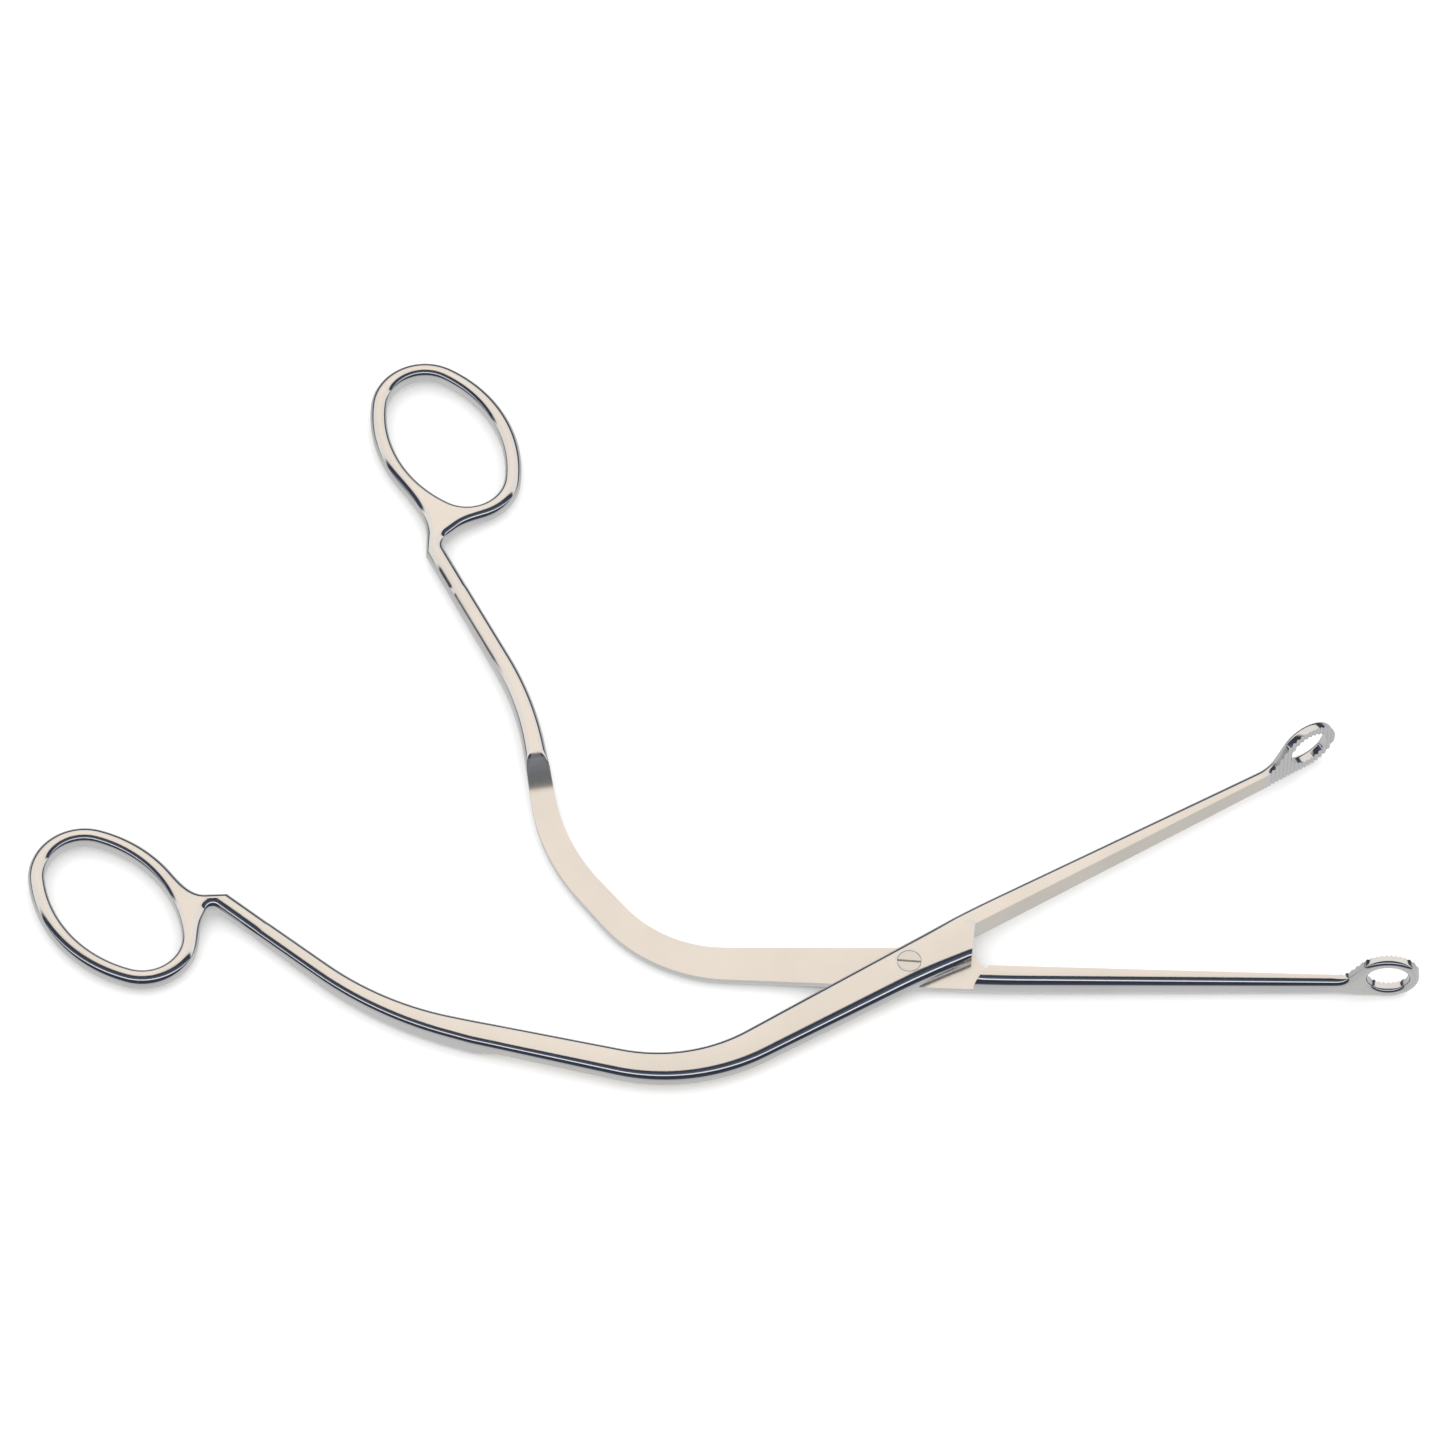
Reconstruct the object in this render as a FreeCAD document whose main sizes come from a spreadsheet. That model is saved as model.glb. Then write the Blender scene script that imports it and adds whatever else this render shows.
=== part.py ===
import FreeCAD, Part
import os
import Sketcher

# Angled intubating forceps: two forged levers crossed in a half-lap joint on one slotted screw.
# Drawn closed. +X runs along the jaws, +Z along the screw, and z = 0 is the flat underside.
# A lever's handle bends towards +Y. The lower lever has its jaw on -Y, the upper lever on +Y.

SIZES = {
    "barThickness": 5.0,       # underside to top of the closed bar
    "barRound": 1.4,           # rounding along the outside of the bar
    "pivotWidth": 8.7,         # width of the bar across the screw
    "firstBendWidth": 6.2,
    "secondBendWidth": 5.1,
    "thirdBendWidth": 3.7,
    "shankWidth": 3.6,         # width at the kink below the finger ring
    "sideEase": 6.0,           # run over which an arc eases the bar's shallow corners
    "jawReach": 87.9,          # screw to the centre of the jaw's loop
    "jawRootX": 14.8,          # end of the lap on the jaw side
    "jawRootWidth": 4.3,       # outer side of the jaw at its root, from the closing plane
    "jawRootGap": 0.5,         # inner face at the root, from the closing plane
    "jawTipGap": 0.06,         # inner face at the loop, from the closing plane
    "jawTipWidth": 2.1,
    "jawTipThickness": 4.0,
    "loopRadius": 5.7,
    "loopHoleRadius": 3.85,
    "loopThickness": 2.0,
    "loopNeck": 8.7,           # start of the loop's neck, back from the loop's centre
    "loopNeckSlope": 57.0,
    "loopNeckEase": 1.2,
    "loopBevel": 0.45,
    "toothPitch": 0.87,
    "toothWidth": 0.8,
    "toothDepth": 0.3,
    "toothCount": 16,
    "lapCornerX": 10.1,        # far corner of the lap's slanted end
    "lapCornerWidth": 5.4,
    "shoulderX": 14.5,         # shoulder that the other lever's lap end faces
    "shoulderRun": 3.3,
    "lowerRunOne": 46.5,       # handle path: screw, three bends, kink
    "lowerRunTwo": 30.9,
    "lowerRunThree": 33.0,
    "lowerRunFour": 38.4,
    "lowerTurnOne": 49.7,
    "lowerTurnTwo": 29.2,
    "lowerTurnThree": -17.8,
    "lowerRadiusOne": 27.3,
    "lowerRadiusTwo": 41.3,
    "lowerRadiusThree": 64.3,
    "lowerLapEnd": 13.0,       # end of the half lap, past the second bend
    "lowerNeckRun": 5.2,       # end of the kink's inner slope, along and across the shank
    "lowerNeckShift": 2.7,
    "lowerRingAlong": 21.3,    # ring's centre from the kink, along and across the shank
    "lowerRingAcross": 14.7,
    "lowerRingTurn": 0.7,      # ring's long axis against the shank
    "upperRunOne": 46.7,
    "upperRunTwo": 41.1,
    "upperRunThree": 18.3,
    "upperRunFour": 38.0,
    "upperTurnOne": 44.8,
    "upperTurnTwo": 2.6,
    "upperTurnThree": 23.2,
    "upperRadiusOne": 33.8,
    "upperRadiusTwo": 42.2,
    "upperRadiusThree": 65.6,
    "upperLapEnd": -6.0,
    "upperNeckRun": 4.3,
    "upperNeckShift": 3.8,
    "upperRingAlong": 14.6,
    "upperRingAcross": 15.4,
    "upperRingTurn": 10.7,
    "rampLength": 7.0,         # run-out from the half lap to the full shank
    "rampEase": 3.2,
    "ringLength": 38.4,        # outside of the finger ring
    "ringBreadth": 25.7,
    "ringEndRadius": 10.2,
    "ringBar": 3.1,            # width of the ring's bar
    "ringThickness": 3.5,
    "neckValley": 1.3,         # valley between shank and ring, along the shank from the kink
    "valleyEase": 2.0,
    "neckEase": 1.6,
    "kinkEase": 0.15,
    "lowerWebRadius": 8.0,     # blends the neck's sides into the ring
    "upperWebRadius": 5.0,
    "handleTaper": 15.0,       # rise over which the handle thins towards its ring
    "handleTaperStop": 10.0,   # end of that rise, short of the kink
    "taperEase": 3.0,
    "screwHeadDiameter": 4.35,
    "screwHeadHeight": 1.3,
    "screwDiameter": 3.0,
    "screwSlotWidth": 0.45,
    "screwSlotDepth": 0.6,
    "screwSlotAngle": -3.0,
    "pivotClearance": 0.05,    # running fit of the upper lever on the screw, per side
    "openAngle": 33.1,         # how far the upper lever stands open
}

doc = FreeCAD.newDocument("Forceps")


def make_sheet():
    sheet = doc.addObject("Spreadsheet::Sheet", "sizes")
    for row, (name, size) in enumerate(SIZES.items(), start=1):
        sheet.set(f"A{row}", name)
        sheet.set(f"B{row}", str(size))
        sheet.setAlias(f"B{row}", name)
    doc.recompute()
    return sheet


sheet = make_sheet()


def value(expression):
    """Number that an expression of the sheet's sizes gives."""
    result = sheet.evalExpression(str(expression))
    return float(getattr(result, "Value", result))


def named(text):
    """Puts the sheet's name before every size in an expression."""
    words = []
    word = ""
    for letter in str(text) + " ":
        if letter.isalnum():
            word += letter
            continue
        words.append("sizes." + word if word in SIZES else word)
        words.append(letter)
        word = ""
    return "".join(words).strip()


def plane(body, role):
    return [item for item in body.Origin.OriginFeatures if item.Role == role][0]


def add_sketch(body, name, role="XY_Plane", shift=("0", "0", "0"), axis=(0, 0, 1), angle="0"):
    """Empty sketch on one of the body's origin planes, shifted and turned by expressions."""
    sketch = body.newObject("Sketcher::SketchObject", name)
    sketch.AttachmentSupport = [(plane(body, role), "")]
    sketch.MapMode = "FlatFace"
    start = FreeCAD.Vector(*[value(named(part)) for part in shift])
    turn = FreeCAD.Rotation(FreeCAD.Vector(*axis), value(named(angle)))
    sketch.AttachmentOffset = FreeCAD.Placement(start, turn)
    for letter, part in zip("xyz", shift):
        if part != "0":
            sketch.setExpression(f".AttachmentOffset.Base.{letter}", named(part))
    if angle != "0":
        sketch.setExpression(".AttachmentOffset.Rotation.Angle", named(angle))
    return sketch


def fix(sketch, kind, where, size):
    """Adds a dimension and binds it to the sheet."""
    index = sketch.addConstraint(Sketcher.Constraint(kind, *where, value(named(size))))
    sketch.setExpression(f"Constraints[{index}]", named(size))


def eased(before, corner, after, run):
    """Two points a run before and after a corner, on its two sides."""
    points = []
    for x, y in (before, after):
        gap = f"sqrt((({x}) - ({corner[0]})) ^ 2 + (({y}) - ({corner[1]})) ^ 2)"
        points.append((
            f"{corner[0]} + ({run}) * (({x}) - ({corner[0]})) / {gap}",
            f"{corner[1]} + ({run}) * (({y}) - ({corner[1]})) / {gap}",
        ))
    return points


def spot(point):
    return FreeCAD.Vector(value(named(point[0])), value(named(point[1])), 0)


def add_outline(sketch, corners):
    """Closed outline through corners bound to expressions of x and y.

    A corner's third item, where it has one, is the run over which an arc eases it.
    """
    points = []
    arcs = {}
    for index, corner in enumerate(corners):
        if len(corner) == 2:
            points.append(corner)
            continue
        after = corners[(index + 1) % len(corners)]
        arcs[len(points)] = spot(corner)
        points += eased(corners[index - 1][:2], corner[:2], after[:2], corner[2])
    count = len(points)
    ends = []
    for index in range(count):
        start = spot(points[index])
        stop = spot(points[(index + 1) % count])
        if index not in arcs:
            ends.append((sketch.addGeometry(Part.LineSegment(start, stop)), 1, 2))
            continue
        corner = arcs[index]
        chord = (start + stop) * 0.5
        half = start.distanceToPoint(stop) / 2
        rise = corner.distanceToPoint(chord)
        bulge = half / rise * (corner.distanceToPoint(start) - half)
        arc = Part.Arc(start, chord + (corner - chord).normalize() * bulge, stop)
        edge = sketch.addGeometry(arc)
        swapped = sketch.getPoint(edge, 1).distanceToPoint(start) > half
        ends.append((edge, 2, 1) if swapped else (edge, 1, 2))
    for index in range(count):
        edge, first, last = ends[index]
        after, begin, _ = ends[(index + 1) % count]
        smooth = (index + 1) % count in arcs
        kind = "Tangent" if smooth else "Coincident"
        sketch.addConstraint(Sketcher.Constraint(kind, edge, last, after, begin))
        fix(sketch, "DistanceX", (-1, 1, edge, first), points[index][0])
        fix(sketch, "DistanceY", (-1, 1, edge, first), points[index][1])


def add_circle(sketch, x, y, radius):
    centre = FreeCAD.Vector(value(named(x)), value(named(y)), 0)
    circle = sketch.addGeometry(Part.Circle(centre, FreeCAD.Vector(0, 0, 1), value(named(radius))))
    fix(sketch, "DistanceX", (-1, 1, circle, 3), x)
    fix(sketch, "DistanceY", (-1, 1, circle, 3), y)
    fix(sketch, "Radius", (circle,), radius)


def oval_side(length, breadth, end_radius):
    """How far beyond an oval's middle its side arcs are centred, and their radius."""
    reach = f"({length} / 2 - {end_radius})"
    spare = f"({breadth} / 2 - {end_radius})"
    drop = f"(({reach} ^ 2 - {spare} ^ 2) / 2 / {spare})"
    return drop, f"({drop} + {breadth} / 2)"


def add_oval(sketch, length, breadth, end_radius, inset):
    """Oval of two end arcs and two flatter side arcs, drawn inset from a length and breadth."""
    drop, outer_radius = oval_side(length, breadth, end_radius)
    reach = f"({length} / 2 - {end_radius})"
    side_radius = f"({outer_radius} - {inset})"
    slant = f"sqrt({reach} ^ 2 + {drop} ^ 2)"
    x = f"({side_radius} * {reach} / {slant})"
    y = f"({side_radius} * {drop} / {slant} - {drop})"
    end = f"({length} / 2 - {inset})"
    top = f"({breadth} / 2 - {inset})"
    joints = [(x, f"-{y}"), (x, y), (f"-{x}", y), (f"-{x}", f"-{y}")]
    crowns = [(end, "0"), ("0", top), (f"-{end}", "0"), ("0", f"-{top}")]
    arcs = []
    for index, crown in enumerate(crowns):
        arc = Part.Arc(spot(joints[index]), spot(crown), spot(joints[(index + 1) % 4]))
        arcs.append(sketch.addGeometry(arc))
    for index, arc in enumerate(arcs):
        sketch.addConstraint(Sketcher.Constraint("Coincident", arc, 2, arcs[(index + 1) % 4], 1))
        fix(sketch, "DistanceX", (-1, 1, arc, 1), joints[index][0])
        fix(sketch, "DistanceY", (-1, 1, arc, 1), joints[index][1])
        fix(sketch, "Radius", (arc,), side_radius if index % 2 else f"{end_radius} - {inset}")


def pad(body, sketch, name, length, reverse=False, both=False):
    feature = body.newObject("PartDesign::Pad", name)
    feature.Profile = sketch
    feature.setExpression("Length", named(length))
    feature.Reversed = reverse
    feature.Midplane = both
    doc.recompute()


def pocket(body, sketch, name, length, reverse=False, both=False):
    """Pocket that has to remove something."""
    before = body.Shape.Volume
    feature = body.newObject("PartDesign::Pocket", name)
    feature.Profile = sketch
    feature.setExpression("Length", named(length))
    feature.Reversed = reverse
    feature.Midplane = both
    doc.recompute()
    if body.Shape.Volume >= before:
        raise RuntimeError(name + " cuts nothing")
    return feature


def soften(body, kind, name, size, wanted):
    """Fillet or chamfer on the edges of the body that the test picks."""
    base = body.Tip
    names = [f"Edge{i + 1}" for i, edge in enumerate(base.Shape.Edges) if wanted(edge)]
    if not names:
        raise RuntimeError(name + " finds no edge")
    feature = body.newObject(kind, name)
    feature.Base = (base, names)
    feature.setExpression(size[0], named(size[1]))
    doc.recompute()
    if feature.Shape.isNull() or "Invalid" in feature.State:
        raise RuntimeError(name + " fails")


def fillet(body, name, radius, wanted):
    soften(body, "PartDesign::Fillet", name, ("Radius", radius), wanted)


def along(point, heading, run, side=0, sign="1"):
    """Point at a run along a heading, measured from -X towards +Y, and off to its +Y side."""
    x, y = point
    shift = f"{sign} * ({side})"
    return (
        f"{x} - ({run}) * cos({heading}) + {shift} * sin({heading})",
        f"{y} + ({run}) * sin({heading}) + {shift} * cos({heading})",
    )


def mitred(point, before, after, width, sign):
    """Corner of the bar's side at a bend between two headings."""
    middle = f"((({before}) + ({after})) / 2)"
    reach = f"({width}) / 2 / cos((({after}) - ({before})) / 2)"
    return along(point, middle, "0", reach, sign)


class Lever:
    """Plan of one lever. Its sign is 1 on the lower lever and -1 on the upper one.

    The finger ring and the lap's far corner lie on the path's side of that sign.
    The jaw and the kink below the ring lie on the other side.
    The half lap runs past a number of the path's bends.
    """

    def __init__(self, prefix, sign, lap_bends):
        self.prefix = prefix
        self.sign = str(sign)
        self.other = str(-sign)
        turns = [prefix + "Turn" + word for word in ("One", "Two", "Three")]
        self.headings = ["0", turns[0], f"({turns[0]} + {turns[1]})", f"({' + '.join(turns)})"]
        self.bends = [along(("0", "0"), "0", prefix + "RunOne")]
        for heading, word in zip(self.headings[1:3], ("Two", "Three")):
            self.bends.append(along(self.bends[-1], heading, prefix + "Run" + word))
        self.end = along(self.bends[-1], self.headings[3], prefix + "RunFour")
        self.kink = along(self.end, self.headings[3], "0", "shankWidth / 2", self.other)
        self.neck = self.from_kink(prefix + "NeckRun", prefix + "NeckShift")
        self.valley = self.from_kink("neckValley", "shankWidth")
        self.ring = self.from_kink(prefix + "RingAlong", prefix + "RingAcross")
        self.ring_heading = f"({self.headings[3]} - {self.sign} * {prefix}RingTurn)"
        self.lap_heading = self.headings[lap_bends]
        self.lap_end = along(self.bends[1], self.lap_heading, prefix + "LapEnd")

    def from_kink(self, run, shift):
        return along(self.kink, self.headings[3], run, shift, self.sign)

    def on_ring(self, run, shift):
        """Point given along the ring's long axis from its centre, and across towards the kink."""
        return along(self.ring, self.ring_heading, run, shift, self.other)

    def side(self, sign):
        """Corners of one side of the bar at the three bends, eased to the bend radii."""
        corners = []
        for index, word in enumerate(("One", "Two", "Three")):
            width = ("firstBendWidth", "secondBendWidth", "thirdBendWidth")[index]
            before, after = self.headings[index:index + 2]
            turn = self.prefix + "Turn" + word
            grow = f"{sign} * {turn} / abs({turn}) * {width} / 2"
            ease = f"({self.prefix}Radius{word} - {grow}) * tan(abs({turn}) / 2)"
            corners.append((*mitred(self.bends[index], before, after, width, sign), ease))
        return corners

    def plan(self):
        """Outline from the jaw round the lap, handle and neck and back to the jaw."""
        away = self.other
        bar_middle = "(ringBreadth - ringBar) / 2"
        jaw_end = "jawReach - loopNeck"
        return [
            (jaw_end, f"{away} * jawTipGap"),
            ("jawRootX", f"{away} * jawRootGap"),
            ("lapCornerX", f"{self.sign} * lapCornerWidth"),
            ("0", f"{self.sign} * pivotWidth / 2", "sideEase"),
            *self.side(self.sign),
            (*self.valley, "valleyEase"),
            self.on_ring("(ringBar - ringLength) / 2", "ringBar"),
            self.on_ring("-1.5 * ringBar", bar_middle),
            (*self.neck, "neckEase"),
            (*self.kink, "kinkEase"),
            *reversed(self.side(self.other)),
            ("jawRootX", f"{away} * jawRootWidth", "sideEase"),
            (jaw_end, f"{away} * jawTipWidth"),
        ]


def bar(body, lever):
    """Full-thickness blank: jaw bar, lap, bent handle, neck and ring rim."""
    outline = add_sketch(body, "Plan")
    add_outline(outline, lever.plan())
    pad(body, outline, "Blank", "barThickness")
    angle = f"180 - {lever.ring_heading}"
    rim = add_sketch(body, "RingOutside", shift=(*lever.ring, "0"), angle=angle)
    add_oval(rim, "ringLength", "ringBreadth", "ringEndRadius", "0")
    pad(body, rim, "RingRim", "barThickness")
    hole = add_sketch(body, "RingInside", shift=(*lever.ring, "0"), angle=angle)
    add_oval(hole, "ringLength", "ringBreadth", "ringEndRadius", "ringBar")
    pocket(body, hole, "RingHole", "2 * barThickness", both=True)


def thin_handle(body, lever):
    """Thins the handle evenly from both faces towards the ring."""
    rise = "(barThickness - ringThickness) / 2"
    stop = f"{lever.kink[1]} - handleTaperStop"
    start = f"{stop} - handleTaper"
    reach = f"{stop} + 3 * ringLength"
    faces = (
        ("Top", "barThickness", f"barThickness - {rise}", "2 * barThickness"),
        ("Under", "0", rise, "-barThickness"),
    )
    for name, face, thinned, beyond in faces:
        sketch = add_sketch(body, "Taper" + name, "YZ_Plane")
        add_outline(sketch, [
            (start, face), (stop, thinned, "taperEase"), (reach, thinned),
            (reach, beyond), (start, beyond),
        ])
        pocket(body, sketch, "Thin" + name, "9 * ringLength", both=True)


def thin_jaw(body):
    """Slopes the jaw's top down from its root to the loop's neck."""
    stop = "jawReach - loopNeck"
    sketch = add_sketch(body, "JawSlope", "XZ_Plane")
    add_outline(sketch, [
        ("jawRootX", "barThickness"), (stop, "jawTipThickness"),
        ("jawReach", "jawTipThickness"), ("jawReach", "2 * barThickness"),
        ("jawRootX", "2 * barThickness"),
    ])
    pocket(body, sketch, "ThinJaw", "4 * lapCornerWidth", both=True)


def blend_web(body, lever):
    """Blends the neck's sides into the ring's outside."""
    side = oval_side("ringLength", "ringBreadth", "ringEndRadius")[1]
    radii = (value("sizes.ringEndRadius"), value(named(side)))

    def wanted(edge):
        box = edge.BoundBox
        if box.ZLength < 1 or box.DiagonalLength > box.ZLength + 0.01:
            return False
        surfaces = [face.Surface for face in body.Tip.Shape.ancestorsOfType(edge, Part.Face)]
        kinds = sorted(surface.TypeId for surface in surfaces)
        if kinds != ["Part::GeomCylinder", "Part::GeomPlane"]:
            return False
        radius = [surface.Radius for surface in surfaces if surface.TypeId == kinds[0]][0]
        return min(abs(radius - known) for known in radii) < 0.001

    fillet(body, "Web", f"{lever.prefix}WebRadius", wanted)


def round_rim(body, lever):
    """Rounds both faces all along the sides, except the jaw's inner face and the lap's end."""
    side = float(lever.sign)
    root = value(named("jawRootX"))
    corner = value(named("lapCornerX"))
    stop = value(named("jawReach - loopNeck"))
    closing = value(named("jawRootGap")) + 0.1

    def wanted(edge):
        box = edge.BoundBox
        if box.ZLength > 1.5:
            return False
        middle = edge.valueAt((edge.FirstParameter + edge.LastParameter) / 2)
        y = side * middle.y
        if middle.x > root - 0.5 and y > -closing:
            return False
        if middle.x > corner + 0.02 and y > -closing:
            return False
        return middle.x < stop - 0.02

    fillet(body, "Rim", "barRound", wanted)


def add_loop(body, lever):
    """Upright eye at the jaw's tip, with the neck that climbs to it from the jaw."""
    apart = f"{lever.sign} * jawTipGap"
    outwards = lever.sign == "-1"
    top = (
        "jawReach - loopRadius * sin(loopNeckSlope)",
        "loopRadius + loopRadius * cos(loopNeckSlope)",
    )
    start = "jawReach - loopNeck"
    foot = f"{top[0]} - ({top[1]} - jawTipThickness) / tan(loopNeckSlope)"
    neck = add_sketch(body, "LoopNeckSide", "XZ_Plane", ("0", "0", apart))
    add_outline(neck, [
        (start, "0"), ("jawReach", "0"), ("jawReach", "loopRadius"), top,
        (foot, "jawTipThickness", "loopNeckEase"), (start, "jawTipThickness"),
    ])
    pad(body, neck, "LoopNeck", "loopThickness", outwards)
    eye = add_sketch(body, "LoopSide", "XZ_Plane", ("0", "0", apart))
    add_circle(eye, "jawReach", "loopRadius", "loopRadius")
    pad(body, eye, "LoopEye", "loopThickness", outwards)
    hole = add_sketch(body, "LoopInside", "XZ_Plane")
    add_circle(hole, "jawReach", "loopRadius", "loopHoleRadius")
    pocket(body, hole, "LoopHole", "4 * lapCornerWidth", both=True)


def bevel_loop(body, lever):
    """Bevels the eye's outer face, away from the other jaw."""
    face = float(lever.other) * value("sizes.jawTipGap + sizes.loopThickness")
    start = value("sizes.jawReach - sizes.loopHoleRadius") - 1.0

    def wanted(edge):
        box = edge.BoundBox
        flat = abs(box.YMin - face) < 1e-3 and abs(box.YMax - face) < 1e-3
        return flat and box.XMax > start and edge.Curve.TypeId == "Part::GeomCircle"

    soften(body, "PartDesign::Chamfer", "LoopBevel", ("Size", "loopBevel"), wanted)


def halve_lap(body, lever):
    """Cuts the lever to half thickness from its shoulder past the screw."""
    reach = "1.5 * lapCornerWidth"
    slope = "shoulderRun / (lapCornerWidth - jawRootGap)"
    jaw_side = f"{lever.other} * {reach}"
    lap_side = f"{lever.sign} * {reach}"
    corners = [
        (f"shoulderX - ({reach} - jawRootGap) * {slope}", jaw_side),
        (f"shoulderX + ({reach} + jawRootGap) * {slope}", lap_side),
    ]
    first = (lever.bends[0], f"({lever.headings[1]} / 2)")
    second = (lever.bends[1], f"(({lever.headings[1]} + {lever.headings[2]}) / 2)")
    turns = [first, second] if lever.lap_heading == lever.headings[2] else [first]
    stations = turns + [(lever.lap_end, lever.lap_heading)]
    corners += [along(point, heading, "0", reach, lever.sign) for point, heading in stations]
    corners += [along(point, heading, "0", reach, lever.other) for point, heading in reversed(stations)]
    sketch = add_sketch(body, "LapPlan", shift=("0", "0", "barThickness / 2"))
    add_outline(sketch, corners)
    pocket(body, sketch, "HalfLap", "2 * barThickness", reverse=lever.sign == "1")


def ramp_lap(body, lever):
    """Runs the half lap out into the full shank with a hollow slope."""
    x, y = lever.lap_end
    face = "barThickness / 2"
    skin = f"{face} * (1 + {lever.sign})"
    beyond = f"{face} * (1 + 3 * {lever.sign})"
    turn = f"-1 * {lever.lap_heading}"
    sketch = add_sketch(body, "RampSide", "XZ_Plane", (x, "0", f"-1 * ({y})"), (0, 1, 0), turn)
    add_outline(sketch, [
        ("0", face, "rampEase"), ("-rampLength", skin), ("-rampLength", beyond),
        ("rampLength", beyond), ("rampLength", face),
    ])
    pocket(body, sketch, "Ramp", "2 * lapCornerWidth", both=True)


def bore(body, name, height, radius, depth):
    sketch = add_sketch(body, name + "Plan", shift=("0", "0", height))
    add_circle(sketch, "0", "0", radius)
    pocket(body, sketch, name, depth, reverse=True)


def cut_teeth(body, lever):
    """Row of upright V grooves across the gripping face of the neck and the eye."""
    start = "jawReach + loopRadius - (toothCount + 0.25) * toothPitch"
    back = f"{lever.sign} * jawTipGap"
    face = f"{lever.other} * jawTipGap"
    sketch = add_sketch(body, "ToothPlan")
    add_outline(sketch, [
        (start, back), (start, face),
        (f"{start} + toothWidth / 2", f"{lever.other} * (jawTipGap + toothDepth)"),
        (f"{start} + toothWidth", face), (f"{start} + toothWidth", back),
    ])
    pocket(body, sketch, "Tooth", "6 * barThickness", both=True)
    row = body.newObject("PartDesign::LinearPattern", "Teeth")
    row.Originals = [body.Tip]
    row.Direction = (sketch, ["H_Axis"])
    row.setExpression("Length", named("(toothCount - 1) * toothPitch"))
    row.setExpression("Occurrences", named("toothCount"))
    body.Tip = row
    doc.recompute()


def make_lever(lever):
    body = doc.addObject("PartDesign::Body", lever.prefix + "_lever")
    bar(body, lever)
    thin_handle(body, lever)
    thin_jaw(body)
    blend_web(body, lever)
    round_rim(body, lever)
    add_loop(body, lever)
    halve_lap(body, lever)
    ramp_lap(body, lever)
    bevel_loop(body, lever)
    return body


def make_screw():
    """Slotted screw: threaded stem and a flush cylindrical head."""
    body = doc.addObject("PartDesign::Body", "pivot_screw")
    stem = add_sketch(body, "StemPlan")
    add_circle(stem, "0", "0", "screwDiameter / 2")
    pad(body, stem, "Stem", "barThickness - screwHeadHeight / 2")
    head = add_sketch(body, "HeadPlan", shift=("0", "0", "barThickness - screwHeadHeight"))
    add_circle(head, "0", "0", "screwHeadDiameter / 2")
    pad(body, head, "Head", "screwHeadHeight")
    slot = add_sketch(body, "SlotPlan", shift=("0", "0", "barThickness"), angle="screwSlotAngle")
    half = "screwSlotWidth / 2"
    reach = "screwHeadDiameter"
    add_outline(slot, [
        (f"-{reach}", f"-{half}"), (reach, f"-{half}"), (reach, half), (f"-{reach}", half),
    ])
    pocket(body, slot, "Slot", "screwSlotDepth")
    return body


def export(body):
    body.Label = body.Name
    shape = body.Shape
    if shape.isNull() or not shape.isValid() or len(shape.Solids) != 1:
        raise RuntimeError(body.Name + " is not one sound solid")
    shape.exportStep(f"parts/{body.Name}.step")


lower = Lever("lower", 1, 2)
upper = Lever("upper", -1, 1)
lower_lever = make_lever(lower)
bore(lower_lever, "ScrewThread", "-barThickness", "screwDiameter / 2", "3 * barThickness")
cut_teeth(lower_lever, lower)

upper_lever = make_lever(upper)
bore(upper_lever, "ScrewBore", "-barThickness", "screwDiameter / 2 + pivotClearance", "3 * barThickness")
seat = "barThickness - screwHeadHeight - pivotClearance"
bore(upper_lever, "HeadSeat", seat, "screwHeadDiameter / 2 + pivotClearance", "barThickness")
cut_teeth(upper_lever, upper)
upper_lever.setExpression(".Placement.Rotation.Angle", "sizes.openAngle")

pivot_screw = make_screw()
doc.recompute()
for item in doc.Objects:
    if "Invalid" in item.State or "Error" in item.State:
        raise RuntimeError(item.Name + " failed")
os.makedirs("parts", exist_ok=True)
for body in (lower_lever, upper_lever, pivot_screw):
    export(body)
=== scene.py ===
import math
import bpy
import bmesh
import numpy as np
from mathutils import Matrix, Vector
from mathutils.geometry import tessellate_polygon


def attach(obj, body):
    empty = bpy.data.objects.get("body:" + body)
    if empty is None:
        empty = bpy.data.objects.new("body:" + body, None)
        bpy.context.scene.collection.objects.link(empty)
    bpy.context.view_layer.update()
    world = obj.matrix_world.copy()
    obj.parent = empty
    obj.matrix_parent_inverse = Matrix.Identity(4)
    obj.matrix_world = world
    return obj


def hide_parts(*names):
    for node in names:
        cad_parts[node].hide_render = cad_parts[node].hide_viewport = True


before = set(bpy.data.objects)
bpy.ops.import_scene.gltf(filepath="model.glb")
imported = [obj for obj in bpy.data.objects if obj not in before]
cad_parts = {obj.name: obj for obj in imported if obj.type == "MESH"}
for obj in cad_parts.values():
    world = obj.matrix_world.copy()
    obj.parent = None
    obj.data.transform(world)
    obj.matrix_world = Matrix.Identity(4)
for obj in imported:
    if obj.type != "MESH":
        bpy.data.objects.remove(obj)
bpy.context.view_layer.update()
mm = 0.001

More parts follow.
